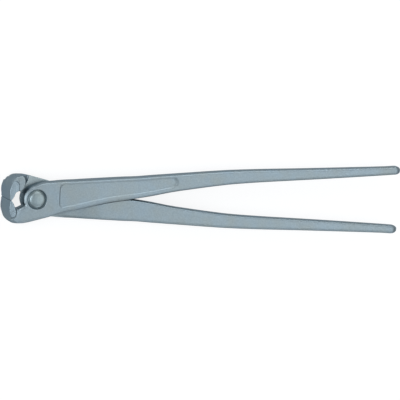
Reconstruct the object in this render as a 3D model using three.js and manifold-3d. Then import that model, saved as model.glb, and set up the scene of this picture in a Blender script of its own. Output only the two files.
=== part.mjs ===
import * as THREE from 'three';
import { mergeVertices } from 'three/addons/utils/BufferGeometryUtils.js';
import Module from 'manifold-3d';

// High-leverage end-cutting nippers, closed and lying flat. All sizes are millimetres.
// X runs from the cutting edges (-X) to the handle ends (+X), Z is the axis of the joint,
// and the two levers meet in the plane Z = 0. The pivot is at X = 0, Y = 0. Both levers are
// one shape: it is drawn for the front lever, whose handle is on the +Y side and whose jaw
// is on the -Y side, and turned over about X for the rear lever.

const wasm = await Module();
wasm.setup();

const { degToRad } = THREE.MathUtils;

// Overall sizes
const headReach = 22.1; // pivot to the foremost point of the head
const frontReach = 277.9; // pivot to the end of the front lever's handle
const rearReach = 276.9; // pivot to the end of the rear lever's handle
const crotchReach = 77; // pivot to where the two handles part
const headHalfHeight = 18.1;
const waistHalfHeight = 13;
const gripHalfSpread = 24.8; // middle line of the tool to the outside of a handle's end
const jawWidth = 25;
const openingAngle = degToRad(45);

// Lap joint
const plateThickness = 7;
const lapGap = 0.3;
const lapSideGap = 0.5;
const bossRadius = 10.5;
const bossRecessGap = 0.8;
const bossTopAngle = degToRad(103);
const bossMouthAngle = degToRad(203);

// Handle
const handleHalfThickness = 4.6;
const tipLength = 4.6;

// Sides of the forging, which draw in towards the faces
const sideInset = 1.4;
const sideDepthShare = 0.85;

// Blade and mouth
const edgeSetback = 1; // from the foremost point of the head to the cutting edge
const edgeGap = 0.3;
const mouthDepth = 7;
const ownTongueDepth = 4.8;
const ownTongueHeight = 12.4;
const farTongueDepth = 6.9;
const farTongueHeight = 14;
const cheekRun = 3.1; // from the side of the blade out to the foot of its slope
const tongueCornerAngle = degToRad(247);

// Hook on the far side of the jaw, and the shoulder behind it
const hookReach = 11; // pivot to the back of the hook
const hookInset = 0.6;
const hookDrop = 0.8; // from the end of the blade down to the side of the hook
const hookFrontShare = 0.6;
const shoulderHeight = 6;
const shoulderFoot = 4.2; // pivot to the foot of the shoulder's hollow
const shoulderRun = 7.4;
const stopGap = 0.6;

// Recessed panel on the side of the handle
const panelStart = 17.4;
const panelEnd = 106;
const panelDepth = 0.5;
const panelTopInset = 2.6;
const panelBottomInset = 4.4;
const panelCorner = 2.5;

// Rivet
const shankRadius = 5;
const shankGap = 0.3;
const rivetHeadRadius = 7;
const rivetHeadGap = 0.35;
const rivetFlatRadius = 4.4;
const rivetRise = 1;
const rivetRimDrop = 1.5;
const counterboreDepth = 1.7;

// How far a cutting shape runs past what it cuts
const overrun = 4;

// Counts
const headSteps = 40;
const bossSteps = 12;
const tongueSteps = 7;
const handleSteps = 44;
const sideSteps = 3;
const tipSteps = 5;
const panelSteps = 10;
const panelCornerSteps = 3;
const hollowSteps = 6;
const bisections = 24;
const roundSteps = 40;

// Head outline in the plane Z = 0, from the front of the jaw round to the waist: shares of
// the head's reach and of its half height.
const headShares = [
  [-0.975, 0.353],
  [-0.966, 0.516],
  [-0.959, 0.668],
  [-0.937, 0.793],
  [-0.9, 0.88],
  [-0.837, 0.948],
  [-0.75, 0.984],
  [-0.656, 1],
  [-0.54, 0.998],
  [-0.425, 0.984],
  [-0.285, 0.954],
  [-0.149, 0.916],
  [0.059, 0.851],
  [0.199, 0.807],
  [0.335, 0.766],
  [0.475, 0.717],
];

// Both faces of the blade: shares of the way from the boss to the front of the head, and of
// the mouth's depth.
const bladeFrontShares = [
  [0.97, 0.33],
  [1, 0.74],
  [0.987, 1.14],
  [0.934, 1.46],
];
const bladeBackShares = [
  [0.638, 0.77],
  [0.75, 0.33],
];

// Floor of the mouth from the boss into the blade: shares as for the blade.
const mouthFloorShares = [
  [0, 0.67],
  [0.164, 0.81],
  [0.32, 0.93],
  [0.526, 0.98],
  [0.7, 1.05],
];
const plateTopShare = 1.3; // of the mouth's depth: where the plate's front starts

// The back of the hook from the outside of the head round to the mouth: shares of the way
// from the front of the head to the hook's back, and of the head's half height.
const hookBackShares = [
  [0.82, 1],
  [0.97, 0.9],
  [1.03, 0.77],
  [1.02, 0.66],
  [0.96, 0.54],
  [0.86, 0.44],
  [0.74, 0.385],
  [0.5, 0.385],
  [0.36, 0.25],
];

// Neck from the waist to the boss: shares of the waist's half height.
const neckShares = [
  [0.808, 1],
  [0.569, 0.992],
  [0.308, 0.954],
  [0.069, 0.892],
];

// The lever from the waist to the crotch: share of the crotch's reach, shares of the
// waist's half height for the lower and the upper edge, share of the plate's thickness for
// the near face, and share of the handle's half thickness for the far face.
const lapShares = [
  [0.182, -0.9, 1.025, 1, -0.1],
  [0.283, -0.715, 1.07, 1, 0.05],
  [0.373, -0.608, 1.085, 1, 0.5],
  [0.471, -0.477, 1.115, 0.99, 0.85],
  [0.61, -0.3, 1.158, 0.96, 1],
  [0.73, -0.162, 1.196, 0.92, 1.02],
  [0.857, -0.069, 1.235, 0.87, 1.02],
  [1, 0.03, 1.265, 0.81, 1.02],
];

// The handle from the crotch to its round end: share of that length, shares of the grip's
// half spread for the inner and the outer edge, and shares of the handle's half thickness
// for the near and the far face.
const handleShares = [
  [0.058, 0.089, 0.7, 1.16, 1.02],
  [0.136, 0.208, 0.742, 1.08, 1.02],
  [0.213, 0.294, 0.785, 1.03, 1.02],
  [0.291, 0.375, 0.827, 1, 1],
  [0.369, 0.443, 0.861, 0.98, 0.98],
  [0.485, 0.508, 0.891, 0.95, 0.95],
  [0.64, 0.575, 0.917, 0.91, 0.91],
  [0.797, 0.645, 0.949, 0.87, 0.87],
  [0.95, 0.72, 0.984, 0.83, 0.83],
  [1, 0.746, 1.004, 0.82, 0.82],
];
const plateRows = 3; // rows of lapShares that the flat plate covers

// Materials

function leverMaterial() {
  return new THREE.MeshStandardMaterial({ color: 0x8c9ca6, roughness: 0.42, metalness: 0.85 });
}

function rivetMaterial() {
  return new THREE.MeshStandardMaterial({ color: 0x93a3ab, roughness: 0.38, metalness: 0.85 });
}

// Solids

function solid(geometry) {
  const bare = geometry.clone();
  bare.deleteAttribute('normal');
  bare.deleteAttribute('uv');
  const merged = mergeVertices(bare);
  return new wasm.Manifold(
    new wasm.Mesh({
      numProp: 3,
      vertProperties: new Float32Array(merged.attributes.position.array),
      triVerts: new Uint32Array(merged.index.array),
    }),
  );
}

function toGeometry(body) {
  const mesh = body.getMesh();
  const geometry = new THREE.BufferGeometry();
  geometry.setAttribute('position', new THREE.BufferAttribute(mesh.vertProperties, 3));
  geometry.setIndex(new THREE.BufferAttribute(mesh.triVerts, 1));
  const faceted = geometry.toNonIndexed();
  faceted.computeVertexNormals();
  return faceted;
}

function joined(bodies) {
  return bodies.reduce((whole, body) => whole.add(body));
}

// A straight prism over an outline in plan, between two heights.
function planPrism(points, low, high) {
  const geometry = new THREE.ExtrudeGeometry(new THREE.Shape(points), {
    depth: high - low,
    bevelEnabled: false,
  });
  geometry.translate(0, 0, low);
  return solid(geometry);
}

// A straight prism over an outline in the XZ plane, right across the head.
function crossPrism(points) {
  const geometry = new THREE.ExtrudeGeometry(new THREE.Shape(points), {
    depth: (headHalfHeight + overrun) * 2,
    bevelEnabled: false,
  });
  geometry.rotateX(Math.PI / 2);
  geometry.translate(0, headHalfHeight + overrun, 0);
  return solid(geometry);
}

// A prism about the plane Z = 0 whose sides draw in by the inset towards both faces.
function forgedPrism(points, halfHeight, inset) {
  const depth = halfHeight * sideDepthShare;
  const geometry = new THREE.ExtrudeGeometry(new THREE.Shape(points), {
    depth: (halfHeight - depth) * 2,
    bevelEnabled: true,
    bevelThickness: depth,
    bevelSize: inset,
    bevelOffset: -inset,
    bevelSegments: sideSteps,
  });
  geometry.translate(0, 0, depth - halfHeight);
  return solid(geometry);
}

function cylinder(radius, low, high) {
  const geometry = new THREE.CylinderGeometry(radius, radius, high - low, roundSteps);
  geometry.rotateX(Math.PI / 2);
  geometry.translate(0, 0, (low + high) / 2);
  return solid(geometry);
}

// A closed skin over rings with the same count of points, which run by the right hand about
// the way from the first ring to the last.
function loft(rings) {
  const count = rings[0].length;
  const indices = [];
  for (let ring = 0; ring < rings.length - 1; ring += 1) {
    for (let side = 0; side < count; side += 1) {
      const here = ring * count + side;
      const next = ring * count + ((side + 1) % count);
      indices.push(here, next, next + count);
      indices.push(here, next + count, here + count);
    }
  }
  const last = (rings.length - 1) * count;
  for (let side = 1; side < count - 1; side += 1) {
    indices.push(0, side + 1, side);
    indices.push(last, last + side, last + side + 1);
  }
  const points = rings.flat().flatMap((point) => point.toArray());
  const geometry = new THREE.BufferGeometry();
  geometry.setAttribute('position', new THREE.Float32BufferAttribute(points, 3));
  geometry.setIndex(indices);
  return solid(geometry);
}

// Outlines in plan

function mouthPoints(shares) {
  const way = headReach - bossRadius;
  return shares.map(([x, y]) => new THREE.Vector2(-bossRadius - x * way, -y * mouthDepth));
}

function neckPoints() {
  return neckShares.map(
    ([x, y]) => new THREE.Vector2(x * waistHalfHeight, y * waistHalfHeight),
  );
}

function arcPoints(radius, from, to, steps) {
  const points = [];
  for (let step = 0; step <= steps; step += 1) {
    const angle = from + ((to - from) * step) / steps;
    points.push(new THREE.Vector2(Math.cos(angle) * radius, Math.sin(angle) * radius));
  }
  return points;
}

function lapRows() {
  return lapShares.map(([x, lower, upper, near, far]) => ({
    x: x * crotchReach,
    lower: lower * waistHalfHeight,
    upper: upper * waistHalfHeight,
    near: near * plateThickness,
    far: far * handleHalfThickness,
  }));
}

function gripRows(reach) {
  return handleShares.map(([x, inner, outer, near, far]) => ({
    x: crotchReach + x * (reach - tipLength - crotchReach),
    lower: inner * gripHalfSpread,
    upper: outer * gripHalfSpread,
    near: near * handleHalfThickness,
    far: far * handleHalfThickness,
  }));
}

function headPoints() {
  const lower = lapRows().slice(0, plateRows);
  const curve = new THREE.SplineCurve([
    ...headShares.map(([x, y]) => new THREE.Vector2(x * headReach, -y * headHalfHeight)),
    ...lower.map((row) => new THREE.Vector2(row.x, row.lower)),
  ]);
  return curve.getPoints(headSteps);
}

// Jaw, boss and neck of a lever: the flat plate of the lap joint.
function plateOutline() {
  const top = -mouthDepth * plateTopShare;
  const upper = lapRows().slice(0, plateRows).reverse();
  return [
    ...headPoints().filter((point) => point.y < top || point.x > 0),
    ...upper.map((row) => new THREE.Vector2(row.x, row.upper)),
    ...neckPoints(),
    ...arcPoints(bossRadius, bossTopAngle, bossMouthAngle, bossSteps),
    ...mouthPoints(mouthFloorShares),
  ];
}

// The blade, with the round end that stands out on the side of the jaw.
function tongueOutline(depth, height) {
  const back = depth - headReach;
  const radius = depth / 2;
  const middle = new THREE.Vector2(back - radius, radius - height);
  const end = arcPoints(radius, tongueCornerAngle, Math.PI * 2, tongueSteps);
  return [
    new THREE.Vector2(edgeSetback - headReach, -edgeGap / 2),
    ...mouthPoints(bladeFrontShares),
    ...end.map((point) => point.add(middle)),
    new THREE.Vector2(back, -mouthDepth),
    ...mouthPoints(bladeBackShares),
  ];
}

// The outside of the whole head below the middle line.
function headOutline() {
  const points = headPoints();
  const last = points[points.length - 1];
  return [new THREE.Vector2(points[0].x, 0), ...points, new THREE.Vector2(last.x, 0)];
}

// The hook's region of the head, drawn past the outside of the head.
function hookOutline() {
  const depth = headReach - hookReach;
  const back = hookBackShares.map(
    ([x, y]) => new THREE.Vector2(x * depth - headReach, -y * headHalfHeight),
  );
  const last = back[back.length - 1];
  const outside = -headHalfHeight - overrun;
  return [
    ...back,
    new THREE.Vector2(-headReach - overrun, last.y),
    new THREE.Vector2(-headReach - overrun, outside),
    new THREE.Vector2(back[0].x, outside),
  ];
}

// The region of the shoulder between the hook and the other lever's boss. Its free side is
// where the other lever's neck stops when the tool is fully open.
function shoulderOutline() {
  const centre = new THREE.Vector2();
  const stop = neckPoints().map((point) => {
    const open = new THREE.Vector2(point.x, -point.y).rotateAround(centre, -openingAngle);
    return open.sub(new THREE.Vector2(stopGap, 0));
  });
  const inHook = (headReach - hookReach) * hookFrontShare - headReach;
  const outside = -headHalfHeight - overrun;
  return [
    new THREE.Vector2(inHook, -mouthDepth),
    new THREE.Vector2(inHook, outside),
    new THREE.Vector2(stop[0].x, outside),
    ...stop,
    new THREE.Vector2(-bossRadius, -mouthDepth),
  ];
}

// The handle

// A smooth lever through its rows: the place along it, its two edges and its two faces.
function leverCurves(reach) {
  const rows = [...lapRows(), ...gripRows(reach)];
  const smooth = (points) => new THREE.CatmullRomCurve3(points, false, 'catmullrom');
  return {
    edges: smooth(rows.map((row) => new THREE.Vector3(row.x, row.lower, row.upper))),
    faces: smooth(rows.map((row) => new THREE.Vector3(row.x, row.near, row.far))),
  };
}

function sectionAtShare(curves, share) {
  const edges = curves.edges.getPoint(share);
  const faces = curves.faces.getPoint(share);
  return { x: edges.x, lower: edges.y, upper: edges.z, near: faces.y, far: faces.z };
}

function sectionAtPlace(curves, x) {
  let low = 0;
  let high = 1;
  for (let step = 0; step < bisections; step += 1) {
    const middle = (low + high) / 2;
    if (curves.edges.getPoint(middle).x < x) low = middle;
    else high = middle;
  }
  return sectionAtShare(curves, low);
}

// One ring round the handle: two flat faces, and sides that round off towards them.
function handleRing({ x, lower, upper, near, far }) {
  const corner = (edge, outward, face) => {
    const depth = face * sideDepthShare;
    const points = [];
    for (let step = 0; step <= sideSteps; step += 1) {
      const angle = ((Math.PI / 2) * step) / sideSteps;
      const y = edge - outward * sideInset * (1 - Math.cos(angle));
      points.push(new THREE.Vector3(x, y, face - depth * (1 - Math.sin(angle))));
    }
    return points;
  };
  return [
    ...corner(upper, 1, near),
    ...corner(lower, -1, near).reverse(),
    ...corner(lower, -1, -far),
    ...corner(upper, 1, -far).reverse(),
  ];
}

function handleBody(curves) {
  const rings = [];
  for (let step = 0; step <= handleSteps; step += 1) {
    rings.push(handleRing(sectionAtShare(curves, step / handleSteps)));
  }
  const end = sectionAtShare(curves, 1);
  const middle = new THREE.Vector3(end.x, (end.lower + end.upper) / 2, (end.near - end.far) / 2);
  for (let step = 1; step <= tipSteps; step += 1) {
    const angle = ((Math.PI / 2) * step) / (tipSteps + tipSteps / roundSteps);
    const shift = new THREE.Vector3(tipLength * Math.sin(angle), 0, 0);
    rings.push(
      handleRing(end).map((point) =>
        point.sub(middle).multiplyScalar(Math.cos(angle)).add(middle).add(shift),
      ),
    );
  }
  return loft(rings);
}

// What the other lever's plate takes out of the far half of the handle.
function lapCut() {
  const side = lapRows().map((row) => new THREE.Vector2(row.x, lapSideGap - row.lower));
  const points = [
    new THREE.Vector2(0, -gripHalfSpread),
    new THREE.Vector2(crotchReach, -gripHalfSpread),
    ...side.reverse(),
    new THREE.Vector2(0, gripHalfSpread),
  ];
  return planPrism(points, -handleHalfThickness - overrun, lapGap / 2);
}

// The recess in the near side of the handle, with sloping walls.
function panelCut(curves) {
  const places = [];
  for (let step = 0; step < panelCornerSteps; step += 1) {
    const angle = ((Math.PI / 2) * step) / panelCornerSteps;
    const along = panelCorner * (1 - Math.cos(angle));
    places.push([panelStart + along, panelCorner * (1 - Math.sin(angle))]);
  }
  for (let step = 0; step <= panelSteps; step += 1) {
    const length = panelEnd - panelStart - panelCorner * 2;
    places.push([panelStart + panelCorner + (length * step) / panelSteps, 0]);
  }
  for (let step = panelCornerSteps - 1; step >= 0; step -= 1) {
    const angle = ((Math.PI / 2) * step) / panelCornerSteps;
    const along = panelCorner * (1 - Math.cos(angle));
    places.push([panelEnd - along, panelCorner * (1 - Math.sin(angle))]);
  }
  const rings = places.map(([x, inset]) => {
    const section = sectionAtPlace(curves, x);
    const low = section.lower + panelBottomInset + inset;
    const high = section.upper - panelTopInset - inset;
    return [
      new THREE.Vector3(x, high - panelDepth, section.near - panelDepth),
      new THREE.Vector3(x, high + panelDepth, section.near + panelDepth),
      new THREE.Vector3(x, low - panelDepth, section.near + panelDepth),
      new THREE.Vector3(x, low + panelDepth, section.near - panelDepth),
    ];
  });
  return loft(rings);
}

// The lever

function nearPlate() {
  const square = [
    new THREE.Vector2(-crotchReach, -crotchReach),
    new THREE.Vector2(crotchReach, -crotchReach),
    new THREE.Vector2(crotchReach, crotchReach),
    new THREE.Vector2(-crotchReach, crotchReach),
  ];
  const farHalf = planPrism(square, -plateThickness - overrun, lapGap / 2);
  return forgedPrism(plateOutline(), plateThickness, sideInset).subtract(farHalf);
}

function blade() {
  const half = jawWidth / 2;
  return joined([
    planPrism(tongueOutline(ownTongueDepth, ownTongueHeight), -half, half),
    planPrism(tongueOutline(farTongueDepth, farTongueHeight), -half, lapGap),
  ]);
}

// The slope from the standing end of the blade down to the plate's near face.
function cheek() {
  const half = jawWidth / 2;
  const geometry = new THREE.ExtrudeGeometry(
    new THREE.Shape(tongueOutline(ownTongueDepth, ownTongueHeight)),
    {
      depth: plateThickness,
      bevelEnabled: true,
      bevelThickness: half - plateThickness,
      bevelSize: cheekRun,
      bevelSegments: 1,
    },
  );
  const within = planPrism(plateOutline(), lapGap / 2, half);
  return solid(geometry).intersect(within).intersect(forgedPrism(headOutline(), half, hookInset));
}

// The concave slope from the hook down to the lap face.
function shoulderProfile() {
  const points = [];
  for (let step = 0; step <= hollowSteps; step += 1) {
    const angle = ((Math.PI / 2) * step) / hollowSteps;
    const x = -shoulderFoot - shoulderRun * Math.cos(angle);
    points.push(new THREE.Vector2(x, shoulderHeight * (Math.sin(angle) - 1)));
  }
  points.push(new THREE.Vector2(-shoulderFoot, plateThickness / 2));
  points.push(new THREE.Vector2(-headReach, plateThickness / 2));
  points.push(new THREE.Vector2(-headReach, -shoulderHeight));
  return points;
}

// The half of the jaw on the side away from the lever's own plate.
function farJaw() {
  const low = -jawWidth / 2;
  const seam = plateThickness * (1 - sideDepthShare);
  const head = forgedPrism(headOutline(), jawWidth / 2 - hookDrop, hookInset);
  const hook = planPrism(hookOutline(), low, seam);
  const shoulder = planPrism(shoulderOutline(), low, seam);
  const slope = crossPrism(shoulderProfile());
  const recess = cylinder(bossRadius + bossRecessGap, -jawWidth, lapGap / 2);
  return head.intersect(hook.add(shoulder.intersect(slope))).subtract(recess);
}

function rivetHole() {
  const seat = plateThickness - counterboreDepth;
  return joined([
    cylinder(shankRadius + shankGap, -overrun, plateThickness + overrun),
    cylinder(rivetHeadRadius + rivetHeadGap, seat, plateThickness + overrun),
  ]);
}

function leverGeometry(reach) {
  const curves = leverCurves(reach);
  const handle = handleBody(curves).subtract(lapCut());
  const body = joined([nearPlate(), handle, farJaw(), blade(), cheek()])
    .subtract(rivetHole())
    .subtract(panelCut(curves));
  return toGeometry(body);
}

// The rivet: a shank with a low head in a counterbore on each side.
function rivetGeometry() {
  const seat = plateThickness - counterboreDepth + rivetHeadGap;
  const top = plateThickness + rivetRise;
  const half = [
    new THREE.Vector2(shankRadius, seat),
    new THREE.Vector2(rivetHeadRadius, seat),
  ];
  for (let step = 0; step <= sideSteps; step += 1) {
    const angle = ((Math.PI / 2) * step) / sideSteps;
    const radius = rivetFlatRadius + (rivetHeadRadius - rivetFlatRadius) * Math.cos(angle);
    half.push(new THREE.Vector2(radius, top - rivetRimDrop * (1 - Math.sin(angle))));
  }
  half.push(new THREE.Vector2(0, top));
  const mirrored = half.map((point) => new THREE.Vector2(point.x, -point.y)).reverse();
  const geometry = new THREE.LatheGeometry([...mirrored, ...half], roundSteps);
  geometry.rotateX(Math.PI / 2);
  return toGeometry(solid(geometry));
}

const frontLever = new THREE.Mesh(leverGeometry(frontReach), leverMaterial());
frontLever.name = 'front_lever';

const rearLever = new THREE.Mesh(leverGeometry(rearReach), leverMaterial());
rearLever.name = 'rear_lever';
rearLever.rotation.x = Math.PI;

const jointRivet = new THREE.Mesh(rivetGeometry(), rivetMaterial());
jointRivet.name = 'joint_rivet';

// The tool lies on its side, with the origin under the middle of its length.
const nippers = new THREE.Group();
nippers.position.set((headReach - frontReach) / 2, 0, jawWidth / 2);
nippers.add(frontLever, rearLever, jointRivet);

export default nippers;
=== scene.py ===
"""High-leverage end-cutting nippers in bare zinc-plated steel, lying closed on a pale floor."""

import math

import bpy
import numpy as np
from mathutils import Matrix, Vector


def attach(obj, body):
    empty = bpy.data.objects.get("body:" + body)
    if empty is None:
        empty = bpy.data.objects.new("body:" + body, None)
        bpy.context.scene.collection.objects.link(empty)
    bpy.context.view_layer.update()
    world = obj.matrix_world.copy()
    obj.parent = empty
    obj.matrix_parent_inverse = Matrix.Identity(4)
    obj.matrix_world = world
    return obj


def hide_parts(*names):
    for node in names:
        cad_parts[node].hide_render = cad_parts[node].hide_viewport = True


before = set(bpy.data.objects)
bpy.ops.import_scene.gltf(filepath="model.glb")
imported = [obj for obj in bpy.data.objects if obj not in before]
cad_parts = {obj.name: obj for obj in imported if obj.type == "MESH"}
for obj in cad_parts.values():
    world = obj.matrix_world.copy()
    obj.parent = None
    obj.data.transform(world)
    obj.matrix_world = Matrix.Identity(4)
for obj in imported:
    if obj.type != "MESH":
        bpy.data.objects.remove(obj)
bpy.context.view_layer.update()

# The two levers
# One drop forging used twice, the second turned over. The jaw, the boss round the joint and
# the handle are one piece of tool steel, trimmed at the parting plane, ground at the cutting
# edge, blasted and zinc plated. Sizes are millimetres from the middle of the joint.

mm = 0.001
head_reach = 22.1
front_reach = 277.9
rear_reach = 276.9
jaw_half_width = 12.5
plate_thickness = 7.0
lap_half_gap = 0.15
lap_side_gap = 0.09
side_inset = 1.4
side_depth_share = 0.85
lap_side_places = [20.0, 34.0, 66.0, 84.0]
lap_side_insets = [1.4, 0.4, 0.4, 1.4]
tip_length = 4.6
tip_fullest_share = 0.999
tool_middle = (head_reach - front_reach) / 2

# Outlines in plan: the head from the front of the jaw round to the waist, the neck, the
# floor of the mouth, the two faces of the blade, and the back of the hook.
head_line = [
    (-21.55, -6.4),
    (-21.35, -9.35),
    (-21.2, -12.2),
    (-20.85, -13.8),
    (-20.2, -15.0),
    (-19.3, -16.0),
    (-18.1, -16.95),
    (-16.5, -17.65),
    (-14.5, -17.88),
    (-11.9, -17.9),
    (-9.4, -17.8),
    (-6.3, -17.25),
    (-3.3, -16.6),
    (1.3, -15.4),
    (4.4, -14.6),
    (7.4, -13.85),
    (10.5, -13.0),
    (14.0, -11.7),
    (21.8, -9.3),
    (28.7, -7.9),
]
neck_line = [
    (28.7, 14.1),
    (21.8, 13.9),
    (14.0, 13.3),
    (10.5, 13.0),
    (7.4, 12.9),
    (4.0, 12.4),
    (0.9, 11.6),
]
boss_radius = 10.5
boss_from = math.radians(103)
boss_to = math.radians(203)
plate_front = -9.1
mouth_line = [(-10.5, -4.7), (-12.4, -5.65), (-14.2, -6.5), (-16.6, -6.85), (-18.6, -7.35)]
edge_point = (-21.0, 0.1)
edge_bevel = (-21.65, -0.5)
blade_front = [(-21.75, -2.3), (-22.1, -5.2), (-21.93, -7.95), (-21.28, -10.15)]
blade_back = [(-17.9, -5.4), (-19.2, -2.3), edge_point]
blade_corner = math.radians(247)
blade_foot = -7.0
own_blade = (4.8, 12.3)
far_blade = (6.9, 14.0)
far_blade_top = 0.3
cheek_run = 3.1
hook_line = [
    (-13.0, -18.1),
    (-11.3, -16.3),
    (-10.7, -13.95),
    (-10.8, -11.95),
    (-11.4, -9.75),
    (-12.5, -7.95),
    (-13.9, -6.95),
    (-16.5, -6.95),
    (-18.1, -4.55),
]
hook_front = [(-26.0, -4.6), (-26.0, -22.5), (-13.0, -22.5)]
hook_half_width = 11.7
hook_inset = 0.6
hook_roll_depth = 1.2
corner_inset = 1.0
hook_corner_inset = 0.4
cheek_corner_inset = 2.6
cheek_roll_depth = 11.5
corner_place = (-19.3, -15.3)
corner_reach = 6.0
stop_line = [(-2.4, -16.6), (-4.5, -14.35), (-6.5, -11.6), (-8.2, -8.85), (-10.5, -7.0)]
shoulder_block = [(-15.5, -7.0), (-15.5, -22.5), (-2.4, -22.5)]
shoulder_run = 5.6
recess_radius = 11.3
bevel_angle = math.radians(30)
bevel_run = 1.6
head_bevel_places = [-16, -12, -3, 3]
head_bevel_runs = [0.8, 2.2, 2.2, 1.6]

# How far the forms of the head are run into each other, and their edges rounded off
bevel_blend = 0.25
shoulder_blend = 1.6
hook_blend = 0.8
jaw_blend = 0.5
recess_blend = 0.3
blade_end_blend = 0.35
blade_half_blend = 0.3
cheek_blend = 0.5
plate_blend = 0.35
blade_blend = 0.7

# Stations along the handle: place, lower edge, upper edge, near face and far face. The
# second table's places are shares of the way from where the handles part to the round end.
crotch = 77.0
neck_stations = [
    (14.0, -11.7, 13.3, 7.0, -0.2),
    (21.8, -9.3, 13.9, 7.0, 0.85),
    (28.7, -7.9, 14.1, 7.0, 2.35),
    (36.3, -6.2, 14.5, 6.93, 3.75),
    (47.0, -3.9, 15.05, 6.72, 4.6),
    (56.2, -2.1, 15.55, 6.44, 4.7),
    (66.0, -0.8, 16.05, 6.1, 4.7),
    (crotch, 0.55, 16.45, 5.67, 4.7),
]
grip_stations = [
    (0.058, 2.3, 17.35, 5.34, 4.7),
    (0.136, 5.15, 18.4, 4.97, 4.7),
    (0.213, 7.3, 19.45, 4.74, 4.7),
    (0.291, 9.3, 20.5, 4.6, 4.6),
    (0.369, 11.0, 21.35, 4.5, 4.5),
    (0.485, 12.6, 22.1, 4.37, 4.37),
    (0.64, 14.25, 22.75, 4.19, 4.19),
    (0.797, 16.0, 23.55, 4.0, 4.0),
    (0.95, 17.85, 24.4, 3.82, 3.82),
    (1.0, 18.5, 24.9, 3.77, 3.77),
]
panel_start = 17.4
panel_end = 106.0
panel_top_inset = 2.6
panel_bottom_inset = 4.4
panel_corner = 4.5
panel_depth = 0.6
panel_slope_run = 0.75
hole_radius = 5.3
counterbore_radius = 7.25
counterbore_depth = 1.1
counterbore_rim = 0.5
lap_blend = 0.2
past_crotch = 30
clear_side = -20
panel_floor_blend = 0.3
panel_rim_blend = 0.35

# The grid over the lever in its three directions: places, and how close its planes are there
head_end = 32
along_places = [-23.2, -19.5, -9, 12, 33, 46, 108, 122]
along_tip_places = [-14, -7, 1.2]
along_spacing = [0.25, 0.3, 0.33, 0.33, 0.4, 0.6, 0.7, 1.8, 1.8, 0.42, 0.42]
across_places = [-19.4, -12, -1, 1, 12, 15, 26.2]
across_spacing = [0.36, 0.33, 0.25, 0.25, 0.36, 0.4, 0.4]
up_places = [-13.2, -10, -1, 1, 8, 10, 13.4]
up_spacing = [0.33, 0.4, 0.3, 0.3, 0.33, 0.4, 0.33]


def smooth_line(points, steps=6):
    """A Catmull-Rom line through the points."""
    points = np.array(points, float)
    ends = np.vstack([2 * points[0] - points[1], points, 2 * points[-1] - points[-2]])
    line = []
    for start in range(len(points) - 1):
        a, b, c, d = ends[start : start + 4]
        for step in range(steps):
            t = step / steps
            square = 2 * a - 5 * b + 4 * c - d
            cube = 3 * b - a - 3 * c + d
            line.append(0.5 * (2 * b + (c - a) * t + square * t**2 + cube * t**3))
    line.append(points[-1])
    return np.array(line)


def arc(radius, start, end, steps=24):
    """Points of an arc about the joint."""
    angles = np.linspace(start, end, steps)
    return np.column_stack([np.cos(angles), np.sin(angles)]) * radius


def grid_line(places, spacing):
    """Places along an axis, closer together where the form has its detail."""
    line = [places[0]]
    while line[-1] < places[-1]:
        line.append(line[-1] + np.interp(line[-1], places, spacing))
    return np.array(line)


def in_outline(points, x, y):
    """Signed distance in plan to a closed outline, negative inside it."""
    nearest = np.full(np.broadcast(x, y).shape, np.inf)
    inside = np.zeros(nearest.shape, bool)
    for (ax, ay), (bx, by) in zip(points, np.roll(points, -1, axis=0)):
        ex, ey = bx - ax, by - ay
        share = np.clip(((x - ax) * ex + (y - ay) * ey) / max(ex * ex + ey * ey, 1e-9), 0, 1)
        nearest = np.minimum(nearest, (x - ax - ex * share) ** 2 + (y - ay - ey * share) ** 2)
        if ay != by:
            inside ^= ((ay > y) != (by > y)) & (x < ax + ex * (y - ay) / ey)
    return np.where(inside, -1, 1) * np.sqrt(nearest)


def joined(a, b, blend):
    """Two forms run into each other with a fillet."""
    share = np.clip(0.5 + 0.5 * (b - a) / blend, 0, 1)
    return b + (a - b) * share - blend * share * (1 - share)


def common(a, b, blend):
    """What two forms share, with the edge between them rounded off."""
    return -joined(-a, -b, blend)


def oval(across, along, half_across, half_along):
    """Signed distance to an ellipse from places across and along it."""
    reach = np.hypot(across / half_across, along / half_along)
    slope = np.hypot(across / half_across**2, along / half_along**2)
    return reach * (reach - 1) / np.maximum(slope, 1e-6)


def forged_side(side, face, inset, depth):
    """A side that rolls over into a face: inset is how far it draws in, over that depth."""
    across = np.maximum(side + inset, 0)
    down = np.maximum(face + depth, 0)
    rolled = (across > 0) & (down > 0)
    return np.where(rolled, oval(across, down, inset, depth), np.maximum(side, face))


def bevelled(form, side, face, run):
    """A form with the edge between a side and a face taken off at 30 degrees."""
    cut = (side + run) * math.sin(bevel_angle) + face * math.cos(bevel_angle)
    return common(form, cut, bevel_blend)


def blade_outline(depth, height):
    """The blade in plan, with its rounded end and the small bevel at its edge."""
    radius = depth / 2
    end = arc(radius, blade_corner, 2 * math.pi) + [depth - head_reach - radius, radius - height]
    back = [(depth - head_reach, blade_foot), *blade_back]
    front = smooth_line([edge_bevel, *blade_front])
    return np.vstack([[edge_point], front, end, smooth_line(back)[:-1]])


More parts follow.
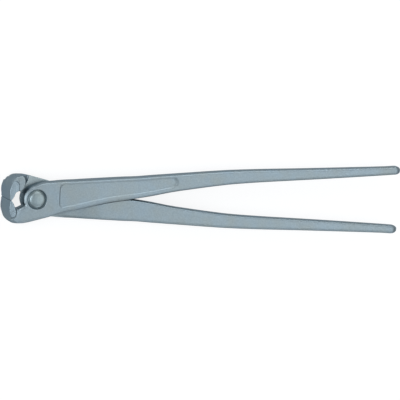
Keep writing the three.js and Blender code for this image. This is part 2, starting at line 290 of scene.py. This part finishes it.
def forged_head(x, y, z):
    """Signed distance to the jaw, the boss and the neck of the front lever."""
    # The flat plate that is this lever's half of the lap
    round_head = smooth_line(head_line)
    round_plate = round_head[(round_head[:, 1] < plate_front) | (round_head[:, 0] > 0)]
    boss = arc(boss_radius, boss_from, boss_to)
    plate_line = np.vstack([round_plate, smooth_line(neck_line), boss, mouth_line])
    plate_side = in_outline(plate_line, x, y)
    from_corner = np.hypot(x - corner_place[0], y - corner_place[1])
    at_corner = np.clip(1 - from_corner / corner_reach, 0, 1)
    face = z - plate_thickness
    inset = side_inset + corner_inset * at_corner
    plate = forged_side(plate_side, face, inset, plate_thickness * side_depth_share)
    run = np.interp(x, head_bevel_places, head_bevel_runs)
    plate = bevelled(plate, plate_side, face, run)
    plate = np.maximum(plate, lap_half_gap - z)

    # Hook and shoulder, which reach over to the other lever's side
    outside_line = np.vstack([[(head_line[0][0], 0.0)], round_head, [(head_line[-1][0], 0.0)]])
    outside = in_outline(outside_line, x, y)
    far_face = -hook_half_width - z
    inset = hook_inset + hook_corner_inset * at_corner
    body = forged_side(outside, far_face, inset, hook_half_width * side_depth_share)
    hook_side = in_outline(np.array([*smooth_line(hook_line), *hook_front]), x, y)
    hook = forged_side(hook_side, far_face, hook_inset, hook_roll_depth)
    hollow = oval(shoulder_run - hook_side, far_face, shoulder_run, hook_half_width - lap_half_gap)
    slope = np.maximum(-hollow, hook_side - shoulder_run)
    stop_side = in_outline(np.array([*shoulder_block, *stop_line]), x, y)
    shoulder = common(stop_side, slope, shoulder_blend)
    jaw = common(body, joined(hook, shoulder, hook_blend), jaw_blend)
    jaw = np.maximum(jaw, z - plate_thickness * (1 - side_depth_share))
    recess = np.maximum(np.hypot(x, y) - recess_radius, z - lap_half_gap)
    jaw = common(jaw, -recess, recess_blend)

    # The blade, whose two ends stand out from the sides of the jaw
    ends = np.abs(z) - jaw_half_width
    own_side = in_outline(blade_outline(*own_blade), x, y)
    far_side = in_outline(blade_outline(*far_blade), x, y)
    own_half = common(own_side, ends, blade_end_blend)
    far_half = np.maximum(common(far_side, ends, blade_end_blend), z - far_blade_top)
    blade = joined(own_half, far_half, blade_half_blend)

    # The hollow slope from the blade's own end down to the plate
    rise = jaw_half_width - plate_thickness
    cheek = -oval(cheek_run - own_side, jaw_half_width - z, cheek_run, rise)
    cheek = np.maximum(cheek, np.maximum(own_side - cheek_run, lap_half_gap - z))
    inset = hook_inset + cheek_corner_inset * at_corner
    side = np.maximum(outside, plate_side)
    within = forged_side(side, z - jaw_half_width, inset, cheek_roll_depth)
    plate = joined(plate, common(cheek, within, cheek_blend), cheek_blend)
    return joined(joined(plate, jaw, plate_blend), blade, blade_blend)


def forged_handle(x, y, z, reach):
    """Signed distance to the handle, and its lower edge, upper edge and near face along it."""
    grip_end = reach - tip_length
    stations = neck_stations + [
        (crotch + share * (grip_end - crotch), *rest) for share, *rest in grip_stations
    ]
    line = smooth_line(stations, steps=12)
    lower, upper, near, far = (np.interp(x, line[:, 0], line[:, column]) for column in range(1, 5))
    past_end = np.clip((x - grip_end) / tip_length, 0, tip_fullest_share)
    shrink = np.sqrt(1 - past_end**2)
    middle_y, middle_z = (lower + upper) / 2, (near - far) / 2
    grip_y = middle_y + (y - middle_y) / shrink
    grip_z = middle_z + (z - middle_z) / shrink
    side = np.maximum(lower - grip_y, grip_y - upper)
    along_lap = np.interp(x, lap_side_places, lap_side_insets)
    near_inset = np.where(lower - grip_y > grip_y - upper, along_lap, side_inset)
    far_depth = np.maximum(far, lap_half_gap)
    near_half = (grip_z - near, near_inset, near)
    far_half = (-far - grip_z, side_inset, far_depth)
    halves = []
    for face, inset, depth in (near_half, far_half):
        rolled = forged_side(side, face, inset, depth * side_depth_share)
        halves.append(bevelled(rolled, side, face, bevel_run))
    over = np.maximum(np.where(grip_z > 0, *halves), -far - grip_z)
    grip = np.maximum(over * shrink, np.maximum(x - reach, stations[0][0] - x))

    # Cut back in its far half where the other lever's plate lies
    other_x = [station[0] for station in neck_stations] + [crotch + past_crotch]
    other_side = [lap_side_gap - station[1] for station in neck_stations] + [clear_side]
    from_lap = y - np.interp(x, other_x, other_side)
    lap = np.maximum(z - lap_half_gap, from_lap)
    return common(grip, -np.maximum(lap, x - crotch), lap_blend), lower, upper, near


def forged_lever(reach):
    """Signed distance to the front lever on a grid that is finest at the head."""
    tip_places = [reach + place for place in along_tip_places]
    along = grid_line(along_places + tip_places, along_spacing)
    across = grid_line(across_places, across_spacing)
    up = grid_line(up_places, up_spacing)
    x, y, z = along[:, None, None], across[None, :, None], up[None, None, :]
    lever, lower, upper, near = forged_handle(x, y, z, reach)
    head = along < head_end
    lever[head] = np.minimum(lever[head], forged_head(x[head], y, z))

    # Bare recessed panel on the near side, and the seat for the rivet
    panel_side = np.maximum(lower + panel_bottom_inset - y, y - upper + panel_top_inset)
    panel_side = common(panel_side, np.maximum(panel_start - x, x - panel_end), panel_corner)
    floor = near - panel_depth
    panel_wall = panel_side - (z - floor) * panel_slope_run / panel_depth
    panel = common(panel_wall, floor - z, panel_floor_blend)
    lever = common(lever, -panel, panel_rim_blend)
    bore = np.hypot(x, y)
    seat = np.maximum(bore - counterbore_radius, plate_thickness - counterbore_depth - z)
    lever = common(lever, -seat, counterbore_rim)
    lever = np.maximum(lever, hole_radius - bore)
    return lever.astype(np.float32), (along, across, up)


# How a mesh's points settle on the surface: rounds, pace, and limits in shares of a cell
settling_rounds = 3
settling_pace = 0.8
longest_move = 0.3
cell_margin = 0.02


def skin(field, axes):
    """Points, normals and quads over the surface of a form given by its signed distance."""
    inside = field < 0
    crossed = np.zeros(tuple(n - 1 for n in field.shape), bool)
    corners = [(i, j, k) for i in (0, 1) for j in (0, 1) for k in (0, 1)]
    counts = [n - 1 for n in field.shape]
    first = inside[:-1, :-1, :-1]
    for i, j, k in corners[1:]:
        crossed |= inside[i : i + counts[0], j : j + counts[1], k : k + counts[2]] != first
    cells = np.argwhere(crossed)
    number = np.full(crossed.shape, -1, np.int32)
    number[crossed] = np.arange(len(cells))
    value = np.stack([field[tuple((cells + corner).T)] for corner in corners], axis=1)

    # Each point starts at the middle of its cell's crossings and settles on the surface
    total = np.zeros((len(cells), 3))
    count = np.zeros((len(cells), 1))
    for a, corner_a in enumerate(corners):
        for b, corner_b in enumerate(corners):
            step = np.subtract(corner_b, corner_a)
            if step.sum() != 1 or np.abs(step).sum() != 1:
                continue
            cut = (value[:, a] < 0) != (value[:, b] < 0)
            share = np.where(cut, value[:, a] / np.where(cut, value[:, a] - value[:, b], 1), 0)
            total += cut[:, None] * (np.array(corner_a) + share[:, None] * step)
            count += cut[:, None]
    place = total / count
    width = np.stack([np.diff(axis)[cells[:, n]] for n, axis in enumerate(axes)], axis=1)
    for _ in range(settling_rounds):
        weights = [np.stack([1 - place[:, n], place[:, n]], axis=1) for n in range(3)]
        height = np.zeros(len(cells))
        slope = np.zeros((len(cells), 3))
        for index, corner in enumerate(corners):
            w = [weights[n][:, corner[n]] for n in range(3)]
            sign = [2 * c - 1 for c in corner]
            height += value[:, index] * w[0] * w[1] * w[2]
            slope[:, 0] += value[:, index] * sign[0] * w[1] * w[2]
            slope[:, 1] += value[:, index] * w[0] * sign[1] * w[2]
            slope[:, 2] += value[:, index] * w[0] * w[1] * sign[2]
        slope /= width
        move = -height[:, None] * slope / np.maximum((slope**2).sum(1), 1e-9)[:, None] / width
        move = np.clip(move, -longest_move, longest_move)
        place = np.clip(place + settling_pace * move, cell_margin, 1 - cell_margin)
    points = np.stack(
        [axis[cells[:, n]] + place[:, n] * width[:, n] for n, axis in enumerate(axes)], axis=1
    )

    # Normals follow the field round each point, which keeps worn edges even
    normals = np.zeros((len(cells), 3))
    slopes = np.gradient(field, *axes)
    for corner in corners:
        shares = [np.where(c, place[:, n], 1 - place[:, n]) for n, c in enumerate(corner)]
        weight = np.prod(shares, axis=0)
        at = tuple((cells + corner).T)
        normals += weight[:, None] * np.stack([slope[at] for slope in slopes], axis=1)
    normals /= np.maximum(np.linalg.norm(normals, axis=1), 1e-9)[:, None]

    quads = []
    for axis in range(3):
        u, v = (axis + 1) % 3, (axis + 2) % 3
        low = [slice(None)] * 3
        high = [slice(None)] * 3
        low[axis], high[axis] = slice(0, -1), slice(1, None)
        change = inside[tuple(low)] != inside[tuple(high)]
        edges = np.argwhere(change)
        edges = edges[(edges[:, u] > 0) & (edges[:, v] > 0)]
        ring = []
        for du, dv in ((1, 1), (0, 1), (0, 0), (1, 0)):
            cell = edges.copy()
            cell[:, u] -= du
            cell[:, v] -= dv
            ring.append(number[tuple(cell.T)])
        quad = np.stack(ring, axis=1)
        outward = inside[tuple(edges.T)]
        quads.append(np.where(outward[:, None], quad, quad[:, ::-1]))
    return points, normals, np.vstack(quads)


def edge_bend(points, normals, quads):
    """How sharply the surface turns: above 0 on outer edges, below 0 in hollows."""
    total = np.zeros(len(points))
    count = np.zeros(len(points))
    for here, there in ((0, 1), (1, 2), (2, 3), (3, 0)):
        a, b = quads[:, here], quads[:, there]
        way = points[b] - points[a]
        bend = ((normals[b] - normals[a]) * way).sum(1) / np.maximum((way**2).sum(1), 1e-4)
        for end in (a, b):
            total += np.bincount(end, bend, len(points))
            count += np.bincount(end, minlength=len(points))
    return total / np.maximum(count, 1)


# How near the lap plane a face counts as worn, how far behind the cutting edge the blades are
# kept apart, and by how much
lap_wear_depth = 0.12
edge_zone = 2
edge_clearance = 0.004


def lever_piece(name, reach, turned):
    """A lever as a mesh in its place: turned over about the length of the tool for the rear."""
    points, normals, quads = skin(*forged_lever(reach))
    bend = edge_bend(points, normals, quads)

    # Marks for the finish: 1 on the ground blade, -1 on the worn lap face, 0 elsewhere
    own_side = in_outline(blade_outline(*own_blade), points[:, 0], points[:, 1])
    far_side = in_outline(blade_outline(*far_blade), points[:, 0], points[:, 1])
    ground = np.clip(0.5 - np.where(points[:, 2] > 0, own_side, far_side) * 2, 0, 1)
    on_lap = (np.abs(points[:, 2] - lap_half_gap) < lap_wear_depth) & (points[:, 0] < crotch)
    ground = np.where(on_lap, -1, ground)

    # Kept inside the tool's box, and off the other lever's cutting edge
    points[:, 0] = np.clip(points[:, 0], -head_reach, reach)
    points[:, 2] = np.clip(points[:, 2], -jaw_half_width, jaw_half_width)
    at_edge = points[:, 0] < edge_point[0] + edge_zone
    points[at_edge, 1] = np.minimum(points[at_edge, 1], -edge_clearance)
    if turned:
        points[:, 1:] *= -1
        normals[:, 1:] *= -1
    points = (points + [tool_middle, 0, jaw_half_width]) * mm
    mesh = bpy.data.meshes.new(name)
    mesh.from_pydata(points.tolist(), [], quads.tolist())
    mesh.polygons.foreach_set("use_smooth", [True] * len(mesh.polygons))
    mesh.attributes.new("bend", "FLOAT", "POINT").data.foreach_set("value", bend)
    mesh.attributes.new("ground", "FLOAT", "POINT").data.foreach_set("value", ground)
    mesh.normals_split_custom_set_from_vertices(normals.tolist())
    piece = bpy.data.objects.new(name, mesh)
    bpy.context.scene.collection.objects.link(piece)
    return piece


# The plate's finish: sizes of its noises, then spans of a noise or a mark and what they become
cloud_scale = 85
mottle_scale = 950
grain_scale = 2600
noise_span = (0.3, 0.7)
mottle_shades = (0.92, 1.08)
outer_edge_span = (0.25, 1.4)
outer_edge_shades = (1.0, 1.3)
# Painted shade: hollows in the surface are darkened in the colour by these shares
hollow_span = (-1.2, -0.2)
painted_hollow_shades = (0.85, 1.0)
lap_face_shades = (1.15, 1.0)
cloud_roughness = 0.03
grain_roughness = (-0.04, 0.04)
ground_roughness = (0.0, -0.06)
edge_gloss_tint = (0.45, 0.5, 0.545, 1)
cool_shares = (0.94, 0.98, 1.03)
warm_shares = (1.05, 1.02, 0.98)
pit_strength = 0.3
pit_depth = 0.00012
grain_strength = 0.25
grain_depth = 0.00005


def plated_steel(name, colour, roughness):
    """Zinc plate over a blasted forging: mottled, matt, brighter on worn edges, shade painted in
    hollows.
    """
    material = bpy.data.materials.new(name)
    material.use_nodes = True
    nodes = material.node_tree.nodes
    links = material.node_tree.links
    shader = nodes["Principled BSDF"]
    shader.inputs["Metallic"].default_value = 1.0
    shader.inputs["Specular Tint"].default_value = edge_gloss_tint
    place = nodes.new("ShaderNodeTexCoord")

    def spread(value, span, result):
        """A value taken from one span to another."""
        node = nodes.new("ShaderNodeMapRange")
        sockets = ("From Min", "From Max", "To Min", "To Max")
        for socket, number in zip(sockets, (*span, *result)):
            node.inputs[socket].default_value = number
        links.new(value, node.inputs["Value"])
        return node.outputs["Result"]

    def noise(scale, detail):
        """A noise held by the piece."""
        field = nodes.new("ShaderNodeTexNoise")
        field.inputs["Scale"].default_value = scale
        field.inputs["Detail"].default_value = detail
        links.new(place.outputs["Object"], field.inputs["Vector"])
        return field.outputs["Fac"]

    def combined(operation, first, second):
        """Two values put together by an operation."""
        node = nodes.new("ShaderNodeMath")
        node.operation = operation
        links.new(first, node.inputs[0])
        links.new(second, node.inputs[1])
        return node.outputs["Value"]

    def mixed(share, first, second):
        """A colour between two colours."""
        node = nodes.new("ShaderNodeMix")
        node.data_type = "RGBA"
        node.inputs["A"].default_value = (*first, 1)
        node.inputs["B"].default_value = (*second, 1)
        links.new(share, node.inputs["Factor"])
        return node.outputs["Result"]

    # Large clouds drift between a bluer and a warmer plate, over a fine mottling
    clouds = noise(cloud_scale, detail=4)
    mottle = noise(mottle_scale, detail=3)
    grain = noise(grain_scale, detail=2)
    bend = nodes.new("ShaderNodeAttribute")
    bend.attribute_name = "bend"
    ground = nodes.new("ShaderNodeAttribute")
    ground.attribute_name = "ground"
    hue = combined("SUBTRACT", spread(clouds, noise_span, (0.0, 1.0)), ground.outputs["Fac"])
    cool = [c * share for c, share in zip(colour, cool_shares)]
    warm = [c * share for c, share in zip(colour, warm_shares)]
    tint = mixed(hue, cool, warm)
    rubbed_edges = spread(bend.outputs["Fac"], outer_edge_span, outer_edge_shades)
    worn = combined("MULTIPLY", rubbed_edges, spread(mottle, noise_span, mottle_shades))
    lap_faces = spread(ground.outputs["Fac"], (-1.0, 0.0), lap_face_shades)
    lightened = combined("MULTIPLY", worn, lap_faces)
    # Painted shade: the colour is darkened where the surface turns inward, in creases and recesses
    hollows = spread(bend.outputs["Fac"], hollow_span, painted_hollow_shades)
    shade = combined("MULTIPLY", lightened, hollows)
    scaled = nodes.new("ShaderNodeVectorMath")
    scaled.operation = "SCALE"
    links.new(tint, scaled.inputs[0])
    links.new(shade, scaled.inputs["Scale"])
    links.new(scaled.outputs["Vector"], shader.inputs["Base Color"])

    # Rough in the open, a little smoother where faces are ground
    drift_limits = (roughness - cloud_roughness, roughness + cloud_roughness)
    drift = spread(clouds, noise_span, drift_limits)
    rough = combined("ADD", spread(grain, noise_span, grain_roughness), drift)
    smoother = spread(ground.outputs["Fac"], (0.0, 1.0), ground_roughness)
    links.new(combined("ADD", rough, smoother), shader.inputs["Roughness"])
    pits = nodes.new("ShaderNodeBump")
    pits.inputs["Strength"].default_value = pit_strength
    pits.inputs["Distance"].default_value = pit_depth
    links.new(mottle, pits.inputs["Height"])
    fine = nodes.new("ShaderNodeBump")
    fine.inputs["Strength"].default_value = grain_strength
    fine.inputs["Distance"].default_value = grain_depth
    links.new(grain, fine.inputs["Height"])
    links.new(pits.outputs["Normal"], fine.inputs["Normal"])
    links.new(fine.outputs["Normal"], shader.inputs["Normal"])
    return material


lever_steel = plated_steel("lever_steel", (0.252, 0.312, 0.344), 0.42)
front_lever = lever_piece("front_lever_forging", front_reach, False)
front_lever.data.materials.append(lever_steel)
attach(front_lever, "front")
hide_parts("front_lever")
rear_lever = lever_piece("rear_lever_forging", rear_reach, True)
rear_lever.data.materials.append(lever_steel)
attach(rear_lever, "rear")
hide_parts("rear_lever")

# The rivet
# A turned steel pin upset at both ends into low heads, which sit in counterbores with a
# narrow groove left round them. Plated with the rest of the tool.

shank_radius = 5.0
rivet_seat = 5.85
rivet_top = 8.0
dome_radii = [6.85, 7.0, 6.85, 6.45, 6.05, 5.65, 5.25, 4.8, 4.3, 3.6, 2.8, 1.6]
dome_drops = [2.15, 2.1, 1.92, 1.6, 1.25, 0.9, 0.63, 0.44, 0.3, 0.16, 0.07, 0.01]
rivet_turns = 128
ring_scale = 500
ring_distortion = 0.6
ring_strength = 0.2
ring_depth = 0.00003

rivet_profile = [(shank_radius, 0.0), (shank_radius, rivet_seat)]
for radius, drop in smooth_line(list(zip(dome_radii, dome_drops)), steps=3):
    rivet_profile.append((radius, rivet_top - drop))
rivet_profile = [(r, -z) for r, z in rivet_profile[:0:-1]] + rivet_profile
rivet_points = []
rivet_faces = []
for turn in range(rivet_turns):
    angle = turn / rivet_turns * 2 * math.pi
    for radius, height in rivet_profile:
        rivet_points.append((radius * math.cos(angle), radius * math.sin(angle), height))
rows = len(rivet_profile)
for turn in range(rivet_turns):
    here = turn * rows
    there = (turn + 1) % rivet_turns * rows
    for row in range(rows - 1):
        rivet_faces.append((here + row, there + row, there + row + 1, here + row + 1))
low_middle = len(rivet_points)
rivet_points += [(0, 0, -rivet_top), (0, 0, rivet_top)]
for turn in range(rivet_turns):
    here = turn * rows
    there = (turn + 1) % rivet_turns * rows
    rivet_faces.append((low_middle, there, here))
    rivet_faces.append((low_middle + 1, here + rows - 1, there + rows - 1))
rivet_points = (np.array(rivet_points) + [tool_middle, 0, jaw_half_width]) * mm
rivet_mesh = bpy.data.meshes.new("joint_rivet_turned")
rivet_mesh.from_pydata(rivet_points.tolist(), [], rivet_faces)
rivet_mesh.polygons.foreach_set("use_smooth", [True] * len(rivet_mesh.polygons))
rivet = bpy.data.objects.new("joint_rivet_turned", rivet_mesh)
bpy.context.scene.collection.objects.link(rivet)

# Faint rings are left by the tool that turned the heads
rivet_steel = plated_steel("rivet_steel", (0.255, 0.32, 0.34), 0.38)
rivet_nodes = rivet_steel.node_tree.nodes
rivet_links = rivet_steel.node_tree.links
rivet_place = rivet_nodes.new("ShaderNodeMapping")
rivet_place.inputs["Location"].default_value = (-tool_middle * mm, 0, 0)
rivet_links.new(rivet_nodes["Texture Coordinate"].outputs["Object"], rivet_place.inputs["Vector"])
rings = rivet_nodes.new("ShaderNodeTexWave")
rings.wave_type = "RINGS"
rings.rings_direction = "Z"
rings.inputs["Scale"].default_value = ring_scale
rings.inputs["Distortion"].default_value = ring_distortion
rivet_links.new(rivet_place.outputs["Vector"], rings.inputs["Vector"])
turned_rings = rivet_nodes.new("ShaderNodeBump")
turned_rings.inputs["Strength"].default_value = ring_strength
turned_rings.inputs["Distance"].default_value = ring_depth
rivet_links.new(rings.outputs["Fac"], turned_rings.inputs["Height"])
rivet_links.new(turned_rings.outputs["Normal"], rivet_nodes["Bump"].inputs["Normal"])
rivet.data.materials.append(rivet_steel)
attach(rivet, "front")
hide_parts("joint_rivet")

# Floor and world
# A plain white sheet under the tool and a plain surround, darker towards the horizon. The
# camera sees both as white, and the sheet keeps a soft shadow.

sheet_width = 6
sheet_colour = (0.9, 0.93, 0.96)
camera_dimming = -0.77
glossy_dimming = -0.8
camera_glow = 0.82
glossy_glow = 0.68
surround_colour = (0.97, 0.985, 1.0, 1)
surround_heights = (0.05, 0.8)
surround_strengths = (0.28, 0.66)

bpy.ops.mesh.primitive_plane_add(size=sheet_width, location=(0, 0, 0))
floor = bpy.context.object
floor.name = "floor"
floor_paint = bpy.data.materials.new("floor_paint")
floor_paint.use_nodes = True
floor_nodes = floor_paint.node_tree.nodes
floor_links = floor_paint.node_tree.links
floor_nodes.remove(floor_nodes["Principled BSDF"])
light_path = floor_nodes.new("ShaderNodeLightPath")


def by_ray(base, camera_part, glossy_part):
    """A value that differs for rays from the camera and from shiny surfaces."""
    value = None
    rays = ("Is Camera Ray", "Is Glossy Ray", "Is Transmission Ray")
    for ray, part in zip(rays, (camera_part, glossy_part, glossy_part)):
        step = floor_nodes.new("ShaderNodeMath")
        step.operation = "MULTIPLY_ADD"
        step.inputs[1].default_value = part
        step.inputs[2].default_value = base
        floor_links.new(light_path.outputs[ray], step.inputs[0])
        if value:
            floor_links.new(value, step.inputs[2])
        value = step.outputs["Value"]
    return value


sheet = floor_nodes.new("ShaderNodeBsdfDiffuse")
sheet_shade = floor_nodes.new("ShaderNodeVectorMath")
sheet_shade.operation = "SCALE"
sheet_shade.inputs[0].default_value = sheet_colour
floor_links.new(by_ray(1.0, camera_dimming, glossy_dimming), sheet_shade.inputs["Scale"])
floor_links.new(sheet_shade.outputs["Vector"], sheet.inputs["Color"])
glow = floor_nodes.new("ShaderNodeEmission")
floor_links.new(by_ray(0.0, camera_glow, glossy_glow), glow.inputs["Strength"])
both = floor_nodes.new("ShaderNodeAddShader")
floor_links.new(sheet.outputs["BSDF"], both.inputs[0])
floor_links.new(glow.outputs["Emission"], both.inputs[1])
floor_links.new(both.outputs["Shader"], floor_nodes["Material Output"].inputs["Surface"])
floor.data.materials.append(floor_paint)

world = bpy.data.worlds.new("surround")
bpy.context.scene.world = world
world.use_nodes = True
world_nodes = world.node_tree.nodes
world_links = world.node_tree.links
direction = world_nodes.new("ShaderNodeTexCoord")
parts = world_nodes.new("ShaderNodeSeparateXYZ")
world_links.new(direction.outputs["Generated"], parts.inputs["Vector"])
upward = world_nodes.new("ShaderNodeMapRange")
upward.inputs["From Min"].default_value = surround_heights[0]
upward.inputs["From Max"].default_value = surround_heights[1]
upward.inputs["To Min"].default_value = surround_strengths[0]
upward.inputs["To Max"].default_value = surround_strengths[1]
world_links.new(parts.outputs["Z"], upward.inputs["Value"])
seen = world_nodes.new("ShaderNodeLightPath")
white = world_nodes.new("ShaderNodeMix")
white.inputs["B"].default_value = 1.0
world_links.new(seen.outputs["Is Camera Ray"], white.inputs["Factor"])
world_links.new(upward.outputs["Result"], white.inputs["A"])
world_links.new(white.outputs["Result"], world_nodes["Background"].inputs["Strength"])
world_nodes["Background"].inputs["Color"].default_value = surround_colour

# Lights
# Four large soft lamps: the main one on the left beyond the jaws, one behind the tool, one
# overhead towards the handle ends, and a weak one from the near side.


def soft_lamp(name, place, size, power):
    """A square lamp that faces the middle of the tool and isn't seen itself."""
    lamp = bpy.data.lights.new(name, "AREA")
    lamp.shape = "RECTANGLE"
    lamp.size = size
    lamp.size_y = size
    lamp.energy = power
    lamp_object = bpy.data.objects.new(name, lamp)
    lamp_object.location = place
    lamp_object.rotation_mode = "QUATERNION"
    lamp_object.rotation_quaternion = Vector(place).to_track_quat("Z", "Y")
    lamp_object.visible_camera = False
    bpy.context.scene.collection.objects.link(lamp_object)


soft_lamp("main_lamp", (-0.85, 0.0, 0.95), 0.8, 5.0)
soft_lamp("back_lamp", (0.2, 1.0, 0.8), 0.8, 4.4)
soft_lamp("overhead_lamp", (0.6, -0.1, 1.2), 0.8, 2.6)
soft_lamp("near_lamp", (0.35, -1.0, 0.6), 0.7, 1.6)

# Camera
# A long lens above the lying tool, moved a little towards the jaws and the upper handle, and
# rolled so that the tool lies level in the picture.

camera_yaw = math.radians(17.3)
camera_pitch = math.radians(7.3)
camera_tilt = math.radians(0.18)
camera_lens = 800
camera_distance = 6.477
camera_clip = 0.05
camera_aim = Vector((-0.00251, -0.0008, 0.0125))

right = Vector((math.cos(camera_yaw), 0, math.sin(camera_yaw)))
up = Vector((0, math.cos(camera_pitch), 0))
up.x = math.sin(camera_yaw) * math.sin(camera_pitch)
up.z = -math.cos(camera_yaw) * math.sin(camera_pitch)
roll = math.atan(math.tan(camera_yaw) * math.sin(camera_pitch)) + camera_tilt
camera_right = right * math.cos(roll) + up * math.sin(roll)
camera_up = up * math.cos(roll) - right * math.sin(roll)
camera_back = camera_right.cross(camera_up)
camera_data = bpy.data.cameras.new("camera")
camera_data.lens = camera_lens
camera_data.clip_start = camera_clip
camera = bpy.data.objects.new("camera", camera_data)
turn = Matrix((camera_right, camera_up, camera_back)).transposed().to_4x4()
turn.translation = camera_aim + camera_back * camera_distance
camera.matrix_world = turn
bpy.context.scene.collection.objects.link(camera)
bpy.context.scene.camera = camera
bpy.context.scene.view_settings.view_transform = "Standard"

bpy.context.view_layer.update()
